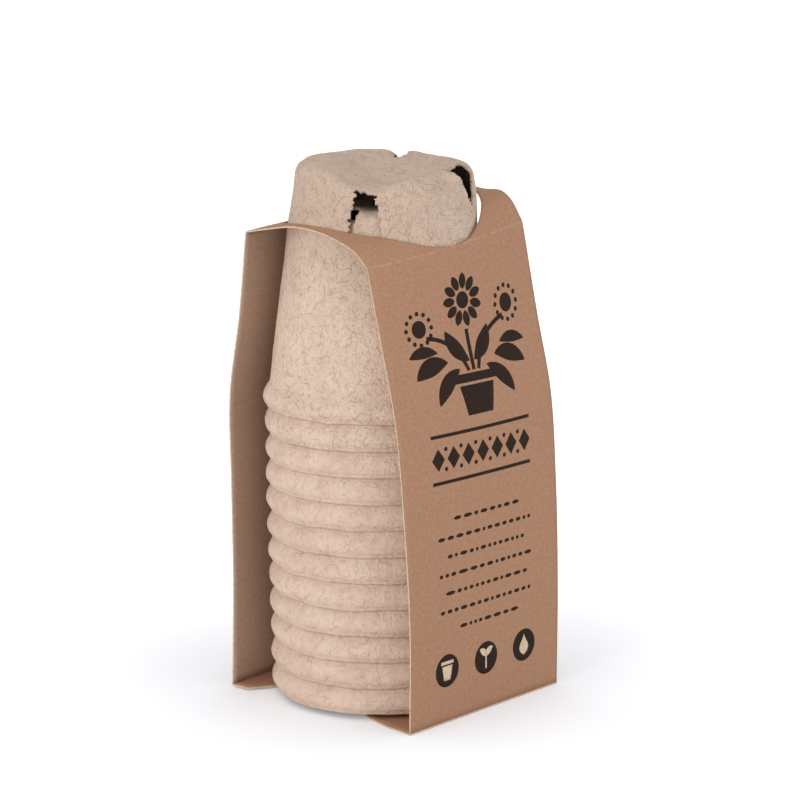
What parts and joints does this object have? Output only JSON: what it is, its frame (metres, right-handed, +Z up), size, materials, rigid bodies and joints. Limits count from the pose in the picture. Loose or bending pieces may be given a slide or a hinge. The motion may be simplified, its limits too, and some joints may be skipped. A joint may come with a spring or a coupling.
{
  "type": "peat pot pack",
  "caption": "Round tapered plant pots of pressed fibre, nested upside down in a folded kraft card sleeve with open sides and a round hole on top.",
  "frame": {"origin": "under the middle of the stack of pots, on the surface the pack stands on", "axes": "+Z up, +X to the right along the front panel, -Y towards the front panel"},
  "size_m": [0.08, 0.085, 0.1761],
  "materials": {
    "pressed_fibre": "matt pressed pulp with fine fibres and specks",
    "kraft_card": "matt brown kraft card with light cut edges"
  },
  "bodies": {
    "sleeve": {"sleeve_wrap": "kraft_card"},
    "front_flap": {"front_bottom_flap": "kraft_card"},
    "back_flap": {"back_bottom_flap": "kraft_card"},
    "pot_01": {"pot_01": "pressed_fibre"},
    "pot_02": {"pot_02": "pressed_fibre"},
    "pot_03": {"pot_03": "pressed_fibre"},
    "pot_04": {"pot_04": "pressed_fibre"},
    "pot_05": {"pot_05": "pressed_fibre"},
    "pot_06": {"pot_06": "pressed_fibre"},
    "pot_07": {"pot_07": "pressed_fibre"},
    "pot_08": {"pot_08": "pressed_fibre"},
    "pot_09": {"pot_09": "pressed_fibre"},
    "pot_10": {"pot_10": "pressed_fibre"},
    "pot_11": {"pot_11": "pressed_fibre"},
    "pot_12": {"pot_12": "pressed_fibre"}
  },
  "joints": [
    {"name": "front_flap_hinge", "type": "hinge", "parent": "sleeve", "child": "front_flap", "pos_m": [0, -0.0413, 0.0005], "axis": [-1, 0, 0], "range_deg": [0, 160]},
    {"name": "back_flap_hinge", "type": "hinge", "parent": "sleeve", "child": "back_flap", "pos_m": [0, 0.0413, 0.00105], "axis": [1, 0, 0], "range_deg": [0, 96]},
    {"name": "pot_01_turn", "type": "hinge", "parent": "sleeve", "child": "pot_01", "pos_m": [0, 0, 0], "axis": [0, 0, 1], "continuous": true},
    {"name": "pot_02_turn", "type": "hinge", "parent": "sleeve", "child": "pot_02", "pos_m": [0, 0, 0], "axis": [0, 0, 1], "continuous": true},
    {"name": "pot_03_turn", "type": "hinge", "parent": "sleeve", "child": "pot_03", "pos_m": [0, 0, 0], "axis": [0, 0, 1], "continuous": true},
    {"name": "pot_04_turn", "type": "hinge", "parent": "sleeve", "child": "pot_04", "pos_m": [0, 0, 0], "axis": [0, 0, 1], "continuous": true},
    {"name": "pot_05_turn", "type": "hinge", "parent": "sleeve", "child": "pot_05", "pos_m": [0, 0, 0], "axis": [0, 0, 1], "continuous": true},
    {"name": "pot_06_turn", "type": "hinge", "parent": "sleeve", "child": "pot_06", "pos_m": [0, 0, 0], "axis": [0, 0, 1], "continuous": true},
    {"name": "pot_07_turn", "type": "hinge", "parent": "sleeve", "child": "pot_07", "pos_m": [0, 0, 0], "axis": [0, 0, 1], "continuous": true},
    {"name": "pot_08_turn", "type": "hinge", "parent": "sleeve", "child": "pot_08", "pos_m": [0, 0, 0], "axis": [0, 0, 1], "continuous": true},
    {"name": "pot_09_turn", "type": "hinge", "parent": "sleeve", "child": "pot_09", "pos_m": [0, 0, 0], "axis": [0, 0, 1], "continuous": true},
    {"name": "pot_10_turn", "type": "hinge", "parent": "sleeve", "child": "pot_10", "pos_m": [0, 0, 0], "axis": [0, 0, 1], "continuous": true},
    {"name": "pot_11_turn", "type": "hinge", "parent": "sleeve", "child": "pot_11", "pos_m": [0, 0, 0], "axis": [0, 0, 1], "continuous": true},
    {"name": "pot_12_turn", "type": "hinge", "parent": "sleeve", "child": "pot_12", "pos_m": [0, 0, 0], "axis": [0, 0, 1], "continuous": true}
  ],
  "couplings": [
    {"joint": "back_flap_hinge", "follows": "front_flap_hinge", "ratio": 0.6}
  ]
}
